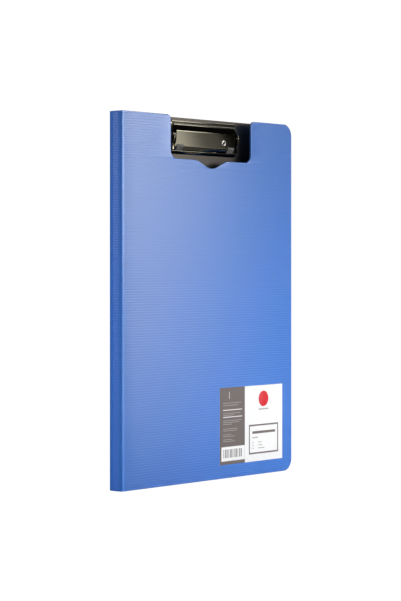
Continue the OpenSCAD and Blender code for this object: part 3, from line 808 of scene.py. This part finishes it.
# ---- The label ----
# A printed film label stuck over the ribs at the lower free corner: a dark panel on its left
# third and a white one with a red disc and a framed field on its right.
label_low, label_high = span("cover_label")
label_w, label_h = label_high[0] - label_low[0], label_high[2] - label_low[2]
paper_white = grained("label_white", (0.935, 0.935, 0.925), (0.915, 0.915, 0.905),
                      0.30, 1200, 0.05)
print_grey = grained("label_dark_grey", (0.165, 0.137, 0.126), (0.177, 0.147, 0.136),
                     0.32, 1200, 0.05)
print_light = grained("label_light_grey", (0.42, 0.40, 0.38), (0.46, 0.44, 0.42),
                      0.32, 1200, 0.05)
print_red = grained("label_red", (0.78, 0.020, 0.035), (0.72, 0.018, 0.030), 0.30, 1200, 0.05)
LABEL_INKS = [paper_white, print_grey, print_light]
WHITE, GREY, LIGHT = range(3)
panel_w = 34.9                         # width of the dark panel
field_x, field_z, field_w, field_h = 40.7, 6.5, 42.2, 26.3   # the framed field
frame_line = 1.4                       # width of its line
# Printed blocks: ink, then left, bottom, width and height from the label's lower left corner
print_blocks = [
    (GREY, 0, 0, panel_w, label_h),
    (WHITE, 2.2, 3.0, panel_w - 2.4, 12.5),
    (GREY, field_x, field_z, field_w, field_h),
    (WHITE, field_x + frame_line, field_z + frame_line,
     field_w - 2 * frame_line, field_h - 2 * frame_line),
    (WHITE, 4.6, 47.4, 26.5, 0.7),
    (WHITE, 4.6, 41.2, 26.5, 0.7),
    (WHITE, 13.0, 57.5, 0.5, 6.2),
    (GREY, 45.5, 24.6, 33.0, 2.2),
    (LIGHT, 45.5, 20.6, 8.0, 1.1),
    (LIGHT, 54.6, 45.6, 14.0, 1.2),
]
print_blocks += [(GREY, 5.0 + 2.2 * k, 5.8, 1.2 if k % 3 else 0.6, 7.4) for k in range(12)]
print_blocks += [(LIGHT, 4.6, z, w, 0.45) for z, w in
                 ((53.6, 25.0), (51.6, 21.0), (44.6, 24.0), (43.0, 15.0), (38.2, 25.5), (36.6, 22.0),
                  (35.0, 12.0), (31.0, 20.0), (29.4, 19.0), (26.0, 11.0), (24.4, 16.0), (21.6, 13.0),
                  (20.0, 16.0))]
print_blocks += [(LIGHT, 46.0, 11.0 + 2.6 * k, 1.2, 1.2) for k in range(3)]
print_blocks += [(LIGHT, 54.0, 11.2 + 2.6 * k, w, 0.7) for k, w in enumerate((9.0, 6.0, 5.0))]


def block_cuts(size, first, length):
    """Where the print's blocks begin and end along the label, and its own two ends."""
    ends = [end for block in print_blocks for end in (block[first], block[first] + block[length])]
    return np.unique(np.round([0, size] + ends, 3))


cuts_x, cuts_z = block_cuts(label_w, 1, 3), block_cuts(label_h, 2, 4)
label_x, label_z = np.meshgrid(cuts_x, cuts_z)
label_points = np.stack([label_low[0] + label_x, np.full(label_x.shape, label_low[1]),
                         label_low[2] + label_z], axis=-1).reshape(-1, 3)
ink = np.zeros((len(cuts_z) - 1, len(cuts_x) - 1), int)
mid_x, mid_z = (cuts_x[1:] + cuts_x[:-1]) / 2, (cuts_z[1:] + cuts_z[:-1]) / 2
for colour, x, z, w, h in print_blocks:
    ink[np.ix_((mid_z > z) & (mid_z < z + h), (mid_x > x) & (mid_x < x + w))] = colour
label_back = label_low[1] + sheet_back + 0.03   # sunk a little behind the rib crests
label = new_piece("printed_label", label_points, grid_cells(*label_x.shape).reshape(-1, 4),
                  paper_white, depth=lambda p: Vector((p.x, label_back * MM, p.z)))
for extra in LABEL_INKS[1:]:
    label.data.materials.append(extra)
centres = np.array([p.center for p in label.data.polygons]) / MM - label_low
column = np.clip(np.searchsorted(cuts_x, centres[:, 0]) - 1, 0, ink.shape[1] - 1)
level = np.clip(np.searchsorted(cuts_z, centres[:, 2]) - 1, 0, ink.shape[0] - 1)
facing = np.array([p.normal.y < -0.5 for p in label.data.polygons])
seen_ink = np.where(facing, ink[level, column], WHITE).astype(np.int32)
label.data.polygons.foreach_set("material_index", seen_ink)
stands_for(label, "front", "label_paper", "cover_label")

disc_r, disc_x, disc_z = 7.0, 61.6, 55.5   # the red disc, from the label's lower left corner
disc_face, disc_sunk, disc_round = 0.02, 0.03, 0.1
disc_profile = np.array([[0, disc_face], [disc_r - disc_round, disc_face], [disc_r, 0],
                         [disc_r, -disc_sunk], [0, -disc_sunk]])
disc_middle = (label_low[0] + disc_x, label_low[1], label_low[2] + disc_z)
disc = new_piece("label_disc", *turned_part(disc_profile, disc_middle, (0, -1, 0), 64), print_red)
stands_for(disc, "front", "label_paper")


# ---- The inner pocket ----
# A clear film welded to the inside of the front cover along three edges, open at its sloping
# mouth. The film is frosted a little and lies in shallow waves.
clear_film, _, _, film_shader = plain_material("clear_film", (0.80, 0.86, 0.92), 0.22)
film_shader.inputs["Alpha"].default_value = 0.35
pocket_low, pocket_high = span("inner_pocket")
pocket_slope = 40                      # how much lower the mouth is at the free edge
weld_w, weld_h = 217, 140              # film's width and height, for the distance to its welds
film_u, film_v = np.meshgrid(np.linspace(0, 1, 41), np.linspace(0, 1, 31))
film_x = pocket_low[0] + film_u * (pocket_high[0] - pocket_low[0])
film_top = pocket_high[2] - pocket_slope * film_u
film_z = pocket_low[2] + film_v * (film_top - pocket_low[2])
weld = np.minimum(np.minimum(film_u, 1 - film_u) * weld_w, film_v * weld_h)
wave = 0.07 * (1 + np.sin(9 * film_u + 2 * film_v) * np.cos(5 * film_v)) * smooth_step(weld, 2, 30)
film_face = pocket_high[1] - 0.15 + wave - 0.12 * np.exp(-((weld - 2.5) / 0.8) ** 2)
film_points = np.stack([film_x, film_face, film_z], axis=-1).reshape(-1, 3)
film_back = pocket_low[1] + 0.01
film = new_piece("pocket_film", film_points, grid_cells(*film_u.shape).reshape(-1, 4), clear_film,
                 depth=lambda p: Vector((p.x, film_back * MM, p.z)))
stands_for(film, "front", "pocket_sheet", "inner_pocket")
